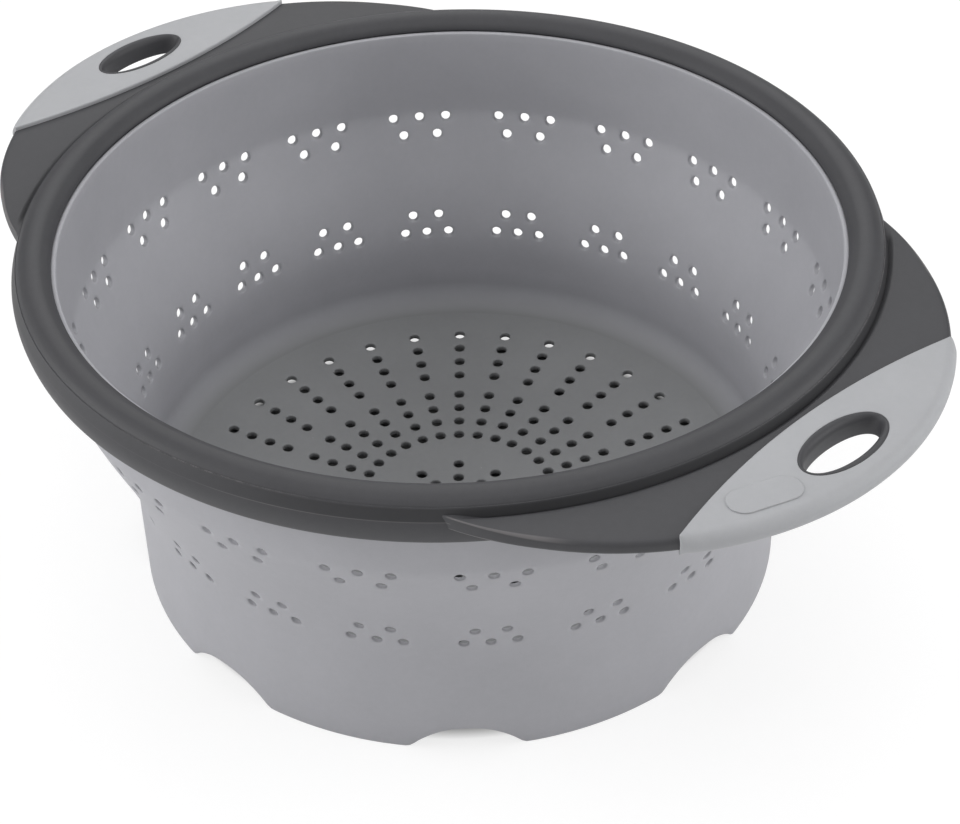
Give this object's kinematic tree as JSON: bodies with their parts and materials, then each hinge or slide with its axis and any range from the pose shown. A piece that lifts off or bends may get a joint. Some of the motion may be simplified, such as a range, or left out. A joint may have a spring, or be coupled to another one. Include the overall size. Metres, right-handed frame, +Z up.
{
  "type": "collapsible colander",
  "caption": "Collapsible kitchen colander: soft bowl with a folding band, dished perforated floor, arched foot, dark rim and winged handles with pale soft grips.",
  "frame": {"origin": "on the table under the centre of the bowl, at the bottom of the foot", "axes": "+Z up, +X from the centre of the bowl through the right handle, the one with the bare badge, +Y by the right-hand rule"},
  "size_m": [0.336, 0.2702, 0.1245],
  "materials": {
    "soft_grey": "matte moulded soft plastic",
    "floor_grey": "matte moulded plastic",
    "rim_charcoal": "satin moulded plastic",
    "grip_light_grey": "matte moulded soft plastic"
  },
  "bodies": {
    "base": {"bowl_base": "soft_grey", "bowl_floor": "floor_grey", "bowl_fold": "soft_grey"},
    "rim": {"bowl_collar": "soft_grey", "rim_cap": "rim_charcoal", "rim_frame": "rim_charcoal", "grip_right": "grip_light_grey", "grip_left": "grip_light_grey"}
  },
  "joints": [
    {"name": "collapse", "type": "slide", "parent": "base", "child": "rim", "axis": [0, 0, 1], "range_m": [-0.08, 0], "deforming": ["bowl_fold"]}
  ]
}
